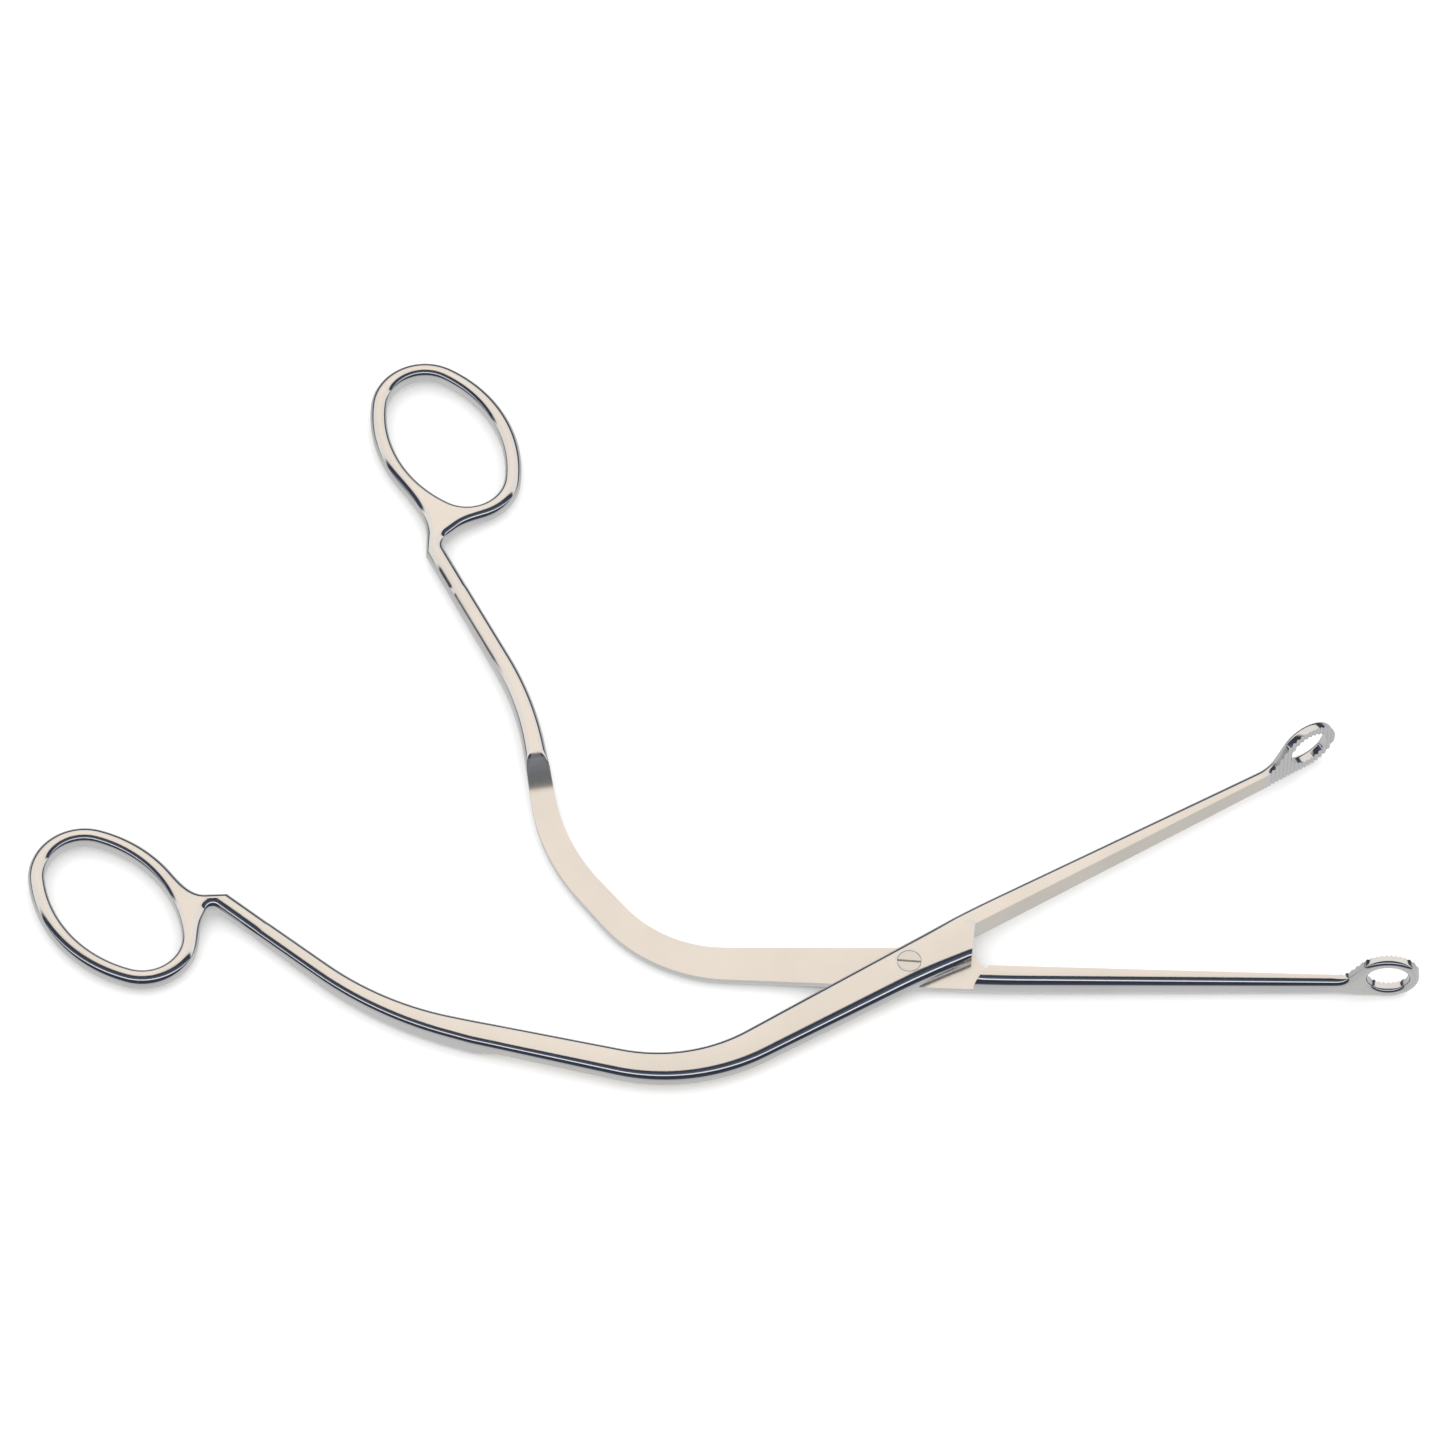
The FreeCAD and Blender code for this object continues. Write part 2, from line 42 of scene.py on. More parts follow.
# sizes that both levers share, in mm; Count values say how many points a curve gets
bar = {
    "thickness": 5.0, "parting": 2.49, "pivotWidth": 8.7, "bendWidths": (6.2, 5.1, 3.7),
    "shankWidth": 3.6, "shankRound": 1.3, "handoverRun": 5.0, "openAngle": 33.1,
    "sideEase": 6.0, "easeCount": 13, "arcCount": 8, "step": 0.7, "degreesPerPoint": 1.5,
    "sharpAngle": 38.0,  # an edge that turns further than this is shaded as an edge
    "ringThickness": 3.5, "taperRun": 48.0, "taperStop": 6.0,  # thinning towards the ring
    "slimRun": 90.0, "slimCurve": 0.8,  # rounding eases to the shank's over this run
    "rampLength": 7.0, "rampCurve": 1.5,
    "lapCorner": (10.1, 5.4), "lapApex": (14.65, -0.5), "shoulderX": 11.9,
    "lapCount": 62, "apexCount": 14,
}
lowerPath = {
    "runs": (46.5, 30.9, 33.0, 38.4), "turns": (49.7, 29.2, -17.8), "radii": (27.3, 41.3, 64.3),
    "lapEnd": 13.0, "neck": (5.2, 2.7), "ringAt": (21.3, 14.7), "ringTurn": 0.7,
    "rounds": (1.6, 2.2), "web": 3.0, "joinAt": -4.0, "upsideDown": False,
    "bore": ((1.5, -3.0), (1.5, 9.0)),
}
upperPath = {
    "runs": (46.7, 41.1, 18.3, 38.0), "turns": (-44.8, -2.6, -23.2), "radii": (33.8, 42.2, 65.6),
    "lapEnd": -6.0, "neck": (4.3, 3.8), "ringAt": (14.6, 15.4), "ringTurn": 10.7,
    "rounds": (2.4, 1.6), "web": 3.0, "joinAt": -1.0, "upsideDown": True,
    "bore": ((2.27, -3.0), (2.27, 1.35), (1.55, 1.35), (1.55, 9.0)),
}


def unit(vectors):
    # Same vectors with length 1. A vector of no length stays 0.
    length = np.linalg.norm(vectors, axis=-1, keepdims=True)
    return vectors / np.maximum(length, 1e-9)


def along(point, heading, run, side=0.0):
    # point + run * (-cos h, sin h) + side * (sin h, cos h), for a heading h measured from -X to +Y
    turn = math.radians(heading)
    forward = np.array([-math.cos(turn), math.sin(turn)])
    across = np.array([math.sin(turn), math.cos(turn)])
    return np.asarray(point, float) + run * forward + side * across


def tangentArc(before, corner, after, run, count):
    # Points of the circle that touches both sides of a corner at a run from it, evenly by angle:
    # centre + (sin(turn - a) * first + sin(a) * last) / sin(turn), for a from 0 to the whole turn
    inwards, outwards = unit(before - corner), unit(after - corner)
    turn = math.pi - math.acos(np.clip(inwards @ outwards, -1, 1))
    radius = run / math.tan(turn / 2)
    centre = corner + unit(inwards + outwards) * radius / math.cos(turn / 2)
    first, last = corner + inwards * run - centre, corner + outwards * run - centre
    part = np.linspace(0, turn, count)[:, None]
    return centre + (np.sin(turn - part) * first + np.sin(part) * last) / math.sin(turn)


def straight(start, stop, count):
    # Points strictly between start and stop, evenly apart
    part = (np.arange(1, count) / count)[:, None]
    return start + (stop - start) * part


def handlePath(path):
    # Headings of the four runs, the three bends between them, and the kink at the end
    headings = [0.0]
    for turn in path["turns"]:
        headings.append(headings[-1] + turn)
    bends, point = [], np.zeros(2)
    for heading, run in zip(headings, path["runs"]):
        point = along(point, heading, run)
        bends.append(point)
    kink = along(bends[3], headings[3], 0, -bar["shankWidth"] / 2)
    return headings, bends[:3], kink


def barSide(path, side):
    # One side of the handle as arcs at the bends: a list of point arrays, side +1 or -1 of the path
    headings, bends, kink = handlePath(path)
    corners = []
    for index, width in enumerate(bar["bendWidths"]):
        half = (headings[index + 1] - headings[index]) / 2
        reach = side * width / 2 / math.cos(math.radians(half))
        corners.append(along(bends[index], headings[index] + half, 0, reach))
    end = along(kink, headings[3], -bar["handoverRun"], bar["shankWidth"] * (side > 0))
    pivot = np.array([0.0, side * bar["pivotWidth"] / 2])
    chain = [pivot] + corners + [end]
    arcs = []
    for index, turn in enumerate(path["turns"]):
        halfWidth = math.copysign(bar["bendWidths"][index] / 2, turn)
        radius = path["radii"][index] - side * halfWidth
        run = radius * math.tan(math.radians(abs(turn)) / 2)
        count = max(5, round(abs(turn) / bar["degreesPerPoint"]))
        arcs.append(tangentArc(*chain[index:index + 3], run, count))
    return arcs, corners[0], end


jaw = {
    "rootX": 14.8, "rootWidth": 4.3, "tipX": 78.2, "tipWidth": 2.1, "tipGap": 0.06,
    "tipThickness": 4.0, "tipRound": 1.35, "count": 60,
}
uncut = 9.0  # height above anything that the half lap would cut


def stations(path):
    # Cross-sections from the jaw's tip to the kink: outer point B, inner point A and a middle
    # point, then a table of the rounding at A and B, underside, top, and the height that the lap
    # cuts down to. Points are spaced evenly on straight runs and by angle on bends.
    arcsA, cornerA, endA = barSide(path, 1)
    arcsB, cornerB, endB = barSide(path, -1)
    root = np.array([jaw["rootX"], -jaw["rootWidth"]])
    tip = np.array([jaw["tipX"], -jaw["tipWidth"]])
    pivotA = np.array([0.0, bar["pivotWidth"] / 2])
    lapCorner = np.array(bar["lapCorner"])
    apex = np.array(bar["lapApex"])
    ease = bar["sideEase"], bar["easeCount"]
    outer = np.vstack([tip, tangentArc(tip, root, cornerB, *ease), arcsB[0][:1]])[::-1]
    inner = np.vstack([lapCorner, tangentArc(lapCorner, pivotA, cornerA, *ease), arcsA[0][:1]])
    inner = inner[::-1]

    count = jaw["count"]
    jawXB = np.linspace(jaw["tipX"], bar["shoulderX"], count)
    jawXA = np.linspace(jaw["tipX"], apex[0], count)
    jawB = np.column_stack([jawXB, np.interp(jawXB, outer[:, 0], outer[:, 1])])
    gap = np.interp(jawXA, [apex[0], tip[0]], [apex[1], -jaw["tipGap"]])
    jawA = np.column_stack([jawXA, gap])
    lapXB = np.linspace(bar["shoulderX"], arcsB[0][0, 0], bar["lapCount"])
    lapXA = np.linspace(lapCorner[0], arcsA[0][0, 0], bar["lapCount"])
    lapB = np.column_stack([lapXB, np.interp(lapXB, outer[:, 0], outer[:, 1])])
    lapA = np.column_stack([lapXA, np.interp(lapXA, inner[:, 0], inner[:, 1])])

    listA, listB = [lapA[:-1], arcsA[0]], [lapB[:-1], arcsB[0]]
    for index in (1, 2, 3):
        startA, startB = listA[-1][-1], listB[-1][-1]
        stopA = endA if index == 3 else arcsA[index][0]
        stopB = endB if index == 3 else arcsB[index][0]
        pieces = max(2, round(float(np.linalg.norm(stopA - startA)) / bar["step"]))
        listA += [straight(startA, stopA, pieces), stopA[None] if index == 3 else arcsA[index]]
        listB += [straight(startB, stopB, pieces), stopB[None] if index == 3 else arcsB[index]]
    barA, barB = np.vstack(listA), np.vstack(listB)

    middle = (barA + barB) / 2
    lengths = np.linalg.norm(np.diff(middle, axis=0), axis=1)
    distance = np.concatenate([[0], np.cumsum(lengths)])
    secondBend = handlePath(path)[1][1]
    lapStop = distance[np.argmin(np.linalg.norm(middle - secondBend, axis=1))] + path["lapEnd"]
    rise = np.clip((distance - lapStop) / bar["rampLength"], 0, 1)
    cut = bar["parting"] + bar["parting"] * rise ** bar["rampCurve"]
    thin = np.clip((distance - distance[-1] + bar["taperStop"]) / bar["taperRun"] + 1, 0, 1)
    thin = (bar["thickness"] - bar["ringThickness"]) / 2 * thin
    slim = np.clip(distance / bar["slimRun"], 0, 1) ** bar["slimCurve"]
    roundA = path["rounds"][0] + (bar["shankRound"] - path["rounds"][0]) * slim
    roundB = path["rounds"][1] + (bar["shankRound"] - path["rounds"][1]) * slim
    roundA[-ring["startRows"]:] = roundB[-ring["startRows"]:] = ring["outerRound"]

    part = (jawXB - jaw["tipX"]) / (bar["shoulderX"] - jaw["tipX"])
    slope = (1 - part) * (bar["thickness"] - jaw["tipThickness"])
    jawRound = jaw["tipRound"] + (path["rounds"][1] - jaw["tipRound"]) * part
    nothing, full = np.zeros(count), np.full(count, uncut)
    jawLow, jawHigh = (slope, nothing) if path["upsideDown"] else (nothing, slope)
    jawRows = np.column_stack([
        jawB, jawA, nothing, jawRound, jawLow, bar["thickness"] - jawHigh, full,
    ])
    barRows = np.column_stack([
        barB, barA, roundA, roundB, thin, bar["thickness"] - thin, cut,
    ])
    face = jawRows[-1:].copy()
    face[0, 8] = bar["parting"]
    rows = np.vstack([jawRows, face, barRows])
    pointB, pointA = rows[:, 0:2], rows[:, 2:4]
    inB = pointB + unit(pointA - pointB) * rows[:, 5:6]
    inA = pointA + unit(pointB - pointA) * rows[:, 4:5]
    middle = (inA + inB) / 2
    first = len(jawRows)
    middle[first - 1:first + 2] = apex
    blend = np.linspace(0, 1, bar["apexCount"])[:, None]
    stop = first + bar["apexCount"]
    middle[first + 1:stop + 1] = apex * (1 - blend) + middle[stop] * blend
    return pointB, pointA, middle, rows[:, 4:9]


def quarter(count):
    # How far a quarter round stands in from the side and up from its start, for a radius of 1
    angle = np.linspace(0, math.pi / 2, count)
    return 1 - np.sin(angle), 1 - np.cos(angle)


def barGrid(path):
    # Cross-section of two flats and four rounded corners carried along the stations. A corner point
    # is side + (middle - side) * inset, and its height is capped by the half lap.
    pointB, pointA, middle, table = stations(path)
    roundA, roundB, low, high, cut = table.T[:, :, None]
    inset, rise = quarter(bar["arcCount"])
    towardsB, towardsA = unit(middle - pointB)[:, None], unit(middle - pointA)[:, None]

    def corner(point, towards, radius, start, sign):
        flat = point[:, None] + towards * (radius * inset)[:, :, None]
        height = start + sign * radius * rise
        return np.dstack([flat, np.minimum(height, cut)])

    def spot(height):
        return np.dstack([middle[:, None], np.minimum(height, cut)])

    loops = [
        corner(pointB, towardsB, roundB, low, 1),
        corner(pointB, towardsB, roundB, high, -1)[:, ::-1],
        spot(high),
        corner(pointA, towardsA, roundA, high, -1),
        corner(pointA, towardsA, roundA, low, 1)[:, ::-1],
        spot(low),
    ]
    steps = bar["arcCount"]
    satin = np.zeros(4 * steps + 2)
    satin[[0, 2 * steps - 1, 2 * steps, 2 * steps + 1, 4 * steps, 4 * steps + 1]] = 1
    grid = np.concatenate(loops, axis=1)
    satin = np.where(np.isclose(grid[..., 2], cut), 1.0, satin)
    satin[:jaw["count"], 2 * steps + 1:4 * steps + 1] = 1
    return grid, satin


ring = {
    "length": 38.4, "breadth": 25.7, "endRadius": 10.2, "bar": 3.1,
    "outerRound": 1.45, "innerRound": 1.1, "startRows": 8,
    "valley": 1.3, "valleyEase": 2.0, "neckEase": 1.6,
    "arcCount": 48, "valleyCount": 9, "leaveCount": 12, "webCount": 16,
}


def oval(inset, count):
    # Four-arc oval about the origin, anticlockwise from the side towards +x: the end arcs have
    # their centres on the long axis, the side arcs beyond the middle, and all four meet in line
    reach = ring["length"] / 2 - ring["endRadius"]
    spare = ring["breadth"] / 2 - ring["endRadius"]
    drop = (reach ** 2 - spare ** 2) / 2 / spare
    lean = math.atan2(drop, reach)
    ends, sides = ring["endRadius"] - inset, drop + ring["breadth"] / 2 - inset
    arcs = [(reach, 0, ends, -lean, lean), (0, -drop, sides, lean, math.pi - lean),
            (-reach, 0, ends, math.pi - lean, math.pi + lean),
            (0, drop, sides, math.pi + lean, 2 * math.pi - lean)]
    points = []
    for x, y, radius, start, stop in arcs:
        angle = np.linspace(start, stop, count, endpoint=False)
        points.append(np.column_stack([x + radius * np.cos(angle), y + radius * np.sin(angle)]))
    return np.vstack(points)


def hermite(start, startWay, stop, stopWay, count):
    # Cubic curve that leaves start along startWay and reaches stop along stopWay
    part = np.linspace(0, 1, count)[:, None]
    size = np.linalg.norm(stop - start)
    return ((2 * part ** 3 - 3 * part ** 2 + 1) * start
            + (part ** 3 - 2 * part ** 2 + part) * startWay * size
            + (3 * part ** 2 - 2 * part ** 3) * stop
            + (part ** 3 - part ** 2) * stopWay * size)


def ringOutline(path):
    # Outside of the neck and finger ring, from the shank's inner side round to its outer side, and
    # the inside oval. The neck's inner side is a straight line in line with the end of the inside
    # oval, and cubic curves carry both sides of the neck into the outside oval.
    headings, _, kink = handlePath(path)
    heading = headings[3]
    turned = heading - path["ringTurn"]
    centre = along(kink, heading, *path["ringAt"])
    width = bar["shankWidth"]
    lengthwise, across = along((0, 0), turned, 1), along((0, 0), turned, 0, -1)
    tooFar = 99  # keeps points on the wrong side out of a search for the nearest

    def place(points):
        return centre + points[:, :1] * lengthwise + points[:, 1:] * across

    outside = place(oval(0, ring["arcCount"]))
    inside = place(oval(ring["bar"], ring["arcCount"])[::-1])
    valley = along(kink, heading, ring["valley"], width)
    neck = along(kink, heading, *path["neck"])
    inEnd = place(np.array([[(ring["bar"] - ring["length"]) / 2, ring["bar"]]]))[0]
    way = unit(inEnd - valley)
    miss = np.abs((outside - valley) @ [way[1], -way[0]])
    ahead = (outside - valley) @ way
    firstAt = np.argmin(miss + 0.02 * np.abs(ahead) + tooFar * (ahead < 0))
    onAxes = (outside - centre) @ np.column_stack([lengthwise, across])
    lastAt = np.argmin(np.abs(onAxes[:, 0] - path["joinAt"]) + tooFar * (onAxes[:, 1] < 0))
    skip = round(path["web"] / np.linalg.norm(outside[1] - outside[0]))
    order = (firstAt + skip + np.arange(len(outside))) % len(outside)
    run = outside[order[:list(order).index(lastAt) + 1]]
    leave = outside[firstAt] - way * min(path["web"], 0.45 * ahead[firstAt])
    slope = unit(kink - neck)
    landing = neck + slope * ring["neckEase"]
    startA = along(kink, heading, -bar["handoverRun"], width)
    startB = along(kink, heading, -bar["handoverRun"], 0)
    outline = np.vstack([
        startA, tangentArc(startA, valley, leave, ring["valleyEase"], ring["valleyCount"]),
        hermite(leave, way, run[0], unit(run[1] - run[0]), ring["leaveCount"])[:-1], run,
        hermite(run[-1], unit(run[-1] - run[-2]), landing, slope, ring["webCount"])[1:],
        kink, startB,
    ])
    return outline, inside


def mitres(outline, closed):
    # Inward mitre at each point of an outline that keeps its material on the left: the sum of the
    # two edges' normals over 1 plus their dot product, so an inset of 1 moves both edges by 1
    if closed:
        edges = unit(np.roll(outline, -1, axis=0) - outline)
        before = np.roll(edges, 1, axis=0)
    else:
        edges = unit(np.diff(outline, axis=0))
        before = np.vstack([edges[:1], edges])
        edges = np.vstack([edges, edges[-1:]])
    normalOne = np.column_stack([-before[:, 1], before[:, 0]])
    normalTwo = np.column_stack([-edges[:, 1], edges[:, 0]])
    together = 1 + (normalOne * normalTwo).sum(1, keepdims=True)
    return (normalOne + normalTwo) / together


def rimGrid(outline, inward, radius, low, high):
    # Rounded rim carried along a flat outline: a quarter round out from the underside, the side,
    # and a quarter round in to the top. A point is outline + mitre * radius * inset.
    inset, rise = quarter(bar["arcCount"])
    radius = np.broadcast_to(radius, len(outline))[:, None]
    flat = outline[:, None] + inward[:, None] * (radius * inset)[:, :, None]
    lower = np.dstack([flat, low + radius * rise])
    upper = np.dstack([flat, high - radius * rise])
    grid = np.concatenate([lower, upper[:, ::-1]], axis=1)
    satin = np.zeros(grid.shape[1])
    satin[[0, -1]] = 1
    return grid, satin


class Shell:
    # Collects grids and flat faces into one mesh
    def __init__(self):
        self.points, self.satin, self.faces, self.count = [], [], [], 0

    def add(self, points, satin):
        points = points.reshape(-1, 3)
        self.points.append(points)
        self.satin.append(np.broadcast_to(satin, len(points)))
        self.count += len(points)
        return self.count - len(points)

    def grid(self, grid, satin, closeRows=False, closeColumns=False):
        rows, columns = grid.shape[:2]
        start = self.add(grid, np.broadcast_to(satin, (rows, columns)).ravel())
        index = np.arange(rows * columns).reshape(rows, columns) + start
        if closeRows:
            index = np.vstack([index, index[:1]])
        if closeColumns:
            index = np.hstack([index, index[:, :1]])
        corners = [index[:-1, :-1], index[1:, :-1], index[1:, 1:], index[:-1, 1:]]
        self.faces += np.stack(corners, axis=-1).reshape(-1, 4).tolist()

    def cap(self, loops, flip=False):
        # Flat face inside a first loop and outside the others
        start = self.add(np.vstack(loops), np.ones(sum(map(len, loops))))
        corners = tessellate_polygon([[Vector(point) for point in loop] for loop in loops])
        corners = np.array(corners) + start
        self.faces += (corners[:, ::-1] if flip else corners).tolist()

    def build(self, name, place):
        # Moves every point, joins the grids where they meet and turns all faces outwards
        mesh = bpy.data.meshes.new(name)
        mesh.from_pydata((place(np.vstack(self.points)) * mm).tolist(), [], self.faces)
        satin = mesh.attributes.new("satin", "FLOAT", "POINT")
        satin.data.foreach_set("value", np.concatenate(self.satin))
        work = bmesh.new()
        work.from_mesh(mesh)
        bmesh.ops.remove_doubles(work, verts=work.verts, dist=0.002 * mm)
        bmesh.ops.dissolve_degenerate(work, edges=work.edges, dist=0.0001 * mm)
        bmesh.ops.recalc_face_normals(work, faces=work.faces)
        work.to_mesh(mesh)
        openEdges = sum(1 for edge in work.edges if len(edge.link_faces) != 2)
        work.free()
        piece = bpy.data.objects.new(name, mesh)
        bpy.context.scene.collection.objects.link(piece)
        print(name, len(mesh.polygons), "faces,", openEdges, "open edges")
        return piece


def placeLever(path):
    # From a lever's own axes to its place: the upper one lies upside down and stands open
    angle = math.radians(bar["openAngle"])
    c, s = math.cos(angle), math.sin(angle)
    turn = np.array([[c, s, 0], [-s, c, 0], [0, 0, 1]])

    def place(points):
        if not path["upsideDown"]:
            return points
        flipped = points * [1, -1, -1] + [0, 0, bar["thickness"]]
        return flipped @ turn

    return place


eye = {
    "x": 87.9, "radius": 5.7, "hole": 3.85, "neckSlope": 57.0, "neckEase": 1.6,
    "outerRound": 0.85, "holeRound": 0.75, "roundRun": 5.5,
    "toothPitch": 0.87, "toothDepth": 0.32, "teeth": 16,
    "rimCount": 56, "holeCount": 64, "easeCount": 11,
}
cutterSize = {"low": -9.0, "high": 14.0, "proud": 1.0, "lip": 0.02, "roundCount": 72}


def eyeOutline():
    # Side view (x, z) of the eye and its neck: the jaw's top, a neck that touches the circle at its
    # slope, the circle round the end, and the jaw's underside, which the circle also touches
    slope, top, radius = math.radians(eye["neckSlope"]), jaw["tipThickness"], eye["radius"]
    touch = np.array([eye["x"] - radius * math.sin(slope), radius * (1 + math.cos(slope))])
    foot = np.array([touch[0] - (touch[1] - top) / math.tan(slope), top])
    start, end = np.array([jaw["tipX"], top]), np.array([jaw["tipX"], 0.0])
    angle = np.linspace(math.pi / 2 + slope, -math.pi / 2, eye["rimCount"])
    circle = np.column_stack([eye["x"] + radius * np.cos(angle), radius * (1 + np.sin(angle))])
    ease = tangentArc(start, foot, touch, eye["neckEase"], eye["easeCount"])
    return np.vstack([
        start, straight(start, ease[0], 3), ease, straight(ease[-1], touch, 3), circle,
        straight(circle[-1], end, 12), end,
    ])


def eyeGrids(path):
    # The eye's outer and hole rims in a lever's own axes. Each has a plain edge at the gripping
    # face and a quarter round at the outer face, whose radius eases from the jaw's to the eye's.
    outline = eyeOutline()[::-1]
    angle = np.linspace(0, -2 * math.pi, eye["holeCount"], endpoint=False)
    hole = eye["hole"] * np.column_stack([np.cos(angle), np.sin(angle)]) + [eye["x"], eye["radius"]]
    inset, rise = quarter(bar["arcCount"])
    grids = []
    for line, closed in ((outline, False), (hole, True)):
        near = np.clip((line[:, 0] - jaw["tipX"]) / eye["roundRun"], 0, 1)[:, None]
        radius = jaw["tipRound"] + (eye["outerRound"] - jaw["tipRound"]) * near
        if closed:
            radius = np.full_like(near, eye["holeRound"])
        flat = line[:, None] + mitres(line, closed)[:, None] * (radius * inset)[:, :, None]
        y = -jaw["tipWidth"] + radius * rise
        outer = np.dstack([flat[..., 0], y, flat[..., 1]])
        middle = -(jaw["tipGap"] + jaw["tipWidth"] - jaw["tipRound"]) / 2
        edge = np.dstack([line[:, None, 0], np.full((len(line), 1), middle), line[:, None, 1]])
        face = edge.copy()
        face[..., 1] = -jaw["tipGap"]
        grids.append(np.concatenate([outer, edge, face] if not closed else [outer, face], axis=1))
    if path["upsideDown"]:
        for grid in grids:
            grid[..., 2] = bar["thickness"] - grid[..., 2]
    return grids


def cutter(name, points, faces, place):
    # Closed tool for a cut, from points in a lever's own axes
    mesh = bpy.data.meshes.new(name)
    mesh.from_pydata((place(points) * mm).tolist(), [], faces)
    work = bmesh.new()
    work.from_mesh(mesh)
    bmesh.ops.recalc_face_normals(work, faces=work.faces)
    work.to_mesh(mesh)
    work.free()
    tool = bpy.data.objects.new(name, mesh)
    bpy.context.scene.collection.objects.link(tool)
    return tool


def toothComb(place):
    # Row of upright V grooves: a zigzag in plan, one V per tooth, drawn up through the eye
    start = eye["x"] + eye["radius"] - (eye["teeth"] + 0.25) * eye["toothPitch"]
    half = np.arange(2 * eye["teeth"] + 1)
    x = start + half * eye["toothPitch"] / 2
    y = np.where(half % 2, -jaw["tipGap"] - eye["toothDepth"], -jaw["tipGap"] + cutterSize["lip"])
    back = cutterSize["proud"]
    front = np.column_stack([np.append(x, [x[-1], x[0]]), np.append(y, [back, back])])
    index = np.arange(len(front))
    after = np.roll(index, -1)
    heights = (cutterSize["low"], cutterSize["high"])
    points = np.vstack([np.column_stack([front, np.full(len(front), z)]) for z in heights])
    sides = np.stack([index, after, after + len(front), index + len(front)], axis=-1).tolist()
    ends = [index.tolist(), (index + len(front)).tolist()]
    return cutter("toothComb", points, sides + ends, place)


def boreTool(profile, place):
    # Round cutter: a line of (radius, height) turned about the screw's axis
    count = cutterSize["roundCount"]
    angle = np.linspace(0, 2 * math.pi, count, endpoint=False)
    radius, height = np.array(profile).T[:, :, None]
    points = np.dstack([radius * np.cos(angle), radius * np.sin(angle), height + 0 * angle])
    index = np.arange(len(profile) * count).reshape(-1, count)
    wrap = np.roll(index, -1, axis=1)
    quads = np.stack([index[:-1], wrap[:-1], wrap[1:], index[1:]], axis=-1).reshape(-1, 4)
    ends = [index[0].tolist(), index[-1].tolist()]
    return cutter("boreTool", points.reshape(-1, 3), quads.tolist() + ends, place)


def carve(piece, tool):
    # Cuts the tool out of the piece and takes the tool away
    cut = piece.modifiers.new("cut", "BOOLEAN")
    cut.operation, cut.solver, cut.object = "DIFFERENCE", "MANIFOLD", tool
    bpy.context.view_layer.update()
    whole = piece.evaluated_get(bpy.context.evaluated_depsgraph_get())
    mesh = bpy.data.meshes.new_from_object(whole)
    piece.modifiers.clear()
    piece.data = mesh
    bpy.data.objects.remove(tool)


def makeLever(name, path):
    # One forging: bar and jaw, then neck and ring, then eye, joined and cut for teeth and screw
    shell = Shell()
    grid, satin = barGrid(path)
    shell.grid(grid, satin, closeColumns=True)

    outline, inside = ringOutline(path)
    drop = (bar["thickness"] - bar["ringThickness"]) / 2
    high = bar["thickness"] - drop
    rim, satin = rimGrid(outline, mitres(outline, False), ring["outerRound"], drop, high)
    shell.grid(rim, satin)
    hole, satin = rimGrid(inside, mitres(inside, True), ring["innerRound"], drop, high)
    shell.grid(hole, satin, closeRows=True)
    topEnd, underEnd = grid[-1, 2 * bar["arcCount"]], grid[-1, -1]
    shell.cap([np.vstack([rim[:, -1], topEnd]), hole[:, -1]])
    shell.cap([np.vstack([rim[:, 0], underEnd]), hole[:, 0]], flip=True)

    eyeRim, eyeHole = eyeGrids(path)
    satin = np.zeros(eyeRim.shape[1])
    shell.grid(eyeRim, satin)
    shell.grid(eyeHole, satin[:-1], closeRows=True)
    shell.cap([eyeRim[:, 0], eyeHole[:, 0]])
    shell.cap([eyeRim[:, -1], eyeHole[:, -1]], flip=True)

    place = placeLever(path)
    piece = shell.build(name, place)
    for tool in (toothComb(place), boreTool(path["bore"], place)):
        carve(piece, tool)
    piece.data.shade_smooth()
    piece.data.set_sharp_from_angle(angle=math.radians(bar["sharpAngle"]))
    weigh = piece.modifiers.new("even shading", "WEIGHTED_NORMAL")
    weigh.keep_sharp = True
    return piece


def addNode(tree, kind, inputs=None, **settings):
    # A node with its settings, and inputs that are either values or another node's output
    node = tree.nodes.new(kind)
    for key, setting in settings.items():
        setattr(node, key, setting)
    for key, source in (inputs or {}).items():
        if isinstance(source, bpy.types.NodeSocket):
            tree.links.new(source, node.inputs[key])
        else:
            node.inputs[key].default_value = source
    return node


def calculate(tree, operation, first, second=0.0, third=0.0):
    inputs = {0: first, 1: second, 2: third}
    return addNode(tree, "ShaderNodeMath", inputs, operation=operation).outputs[0]


def spread(tree, value, low, high, toLow=0.0, toHigh=1.0):
    # Smooth step of a value from low..high to toLow..toHigh
    inputs = {0: value, 1: low, 2: high, 3: toLow, 4: toHigh}
    return addNode(tree, "ShaderNodeMapRange", inputs, interpolation_type="SMOOTHSTEP").outputs[0]


grainLook = {
    "fineDetail": 4.0, "cloudSize": 70.0, "cloudDetail": 3.0, "scratchDetail": 2.0,
    "scratchFrom": 0.66, "scratchTo": 0.74,
    "scratchRuns": ((0.5, (2600.0, 90.0, 90.0)), (-0.9, (2100.0, 70.0, 70.0))),  # turn, stretch
}


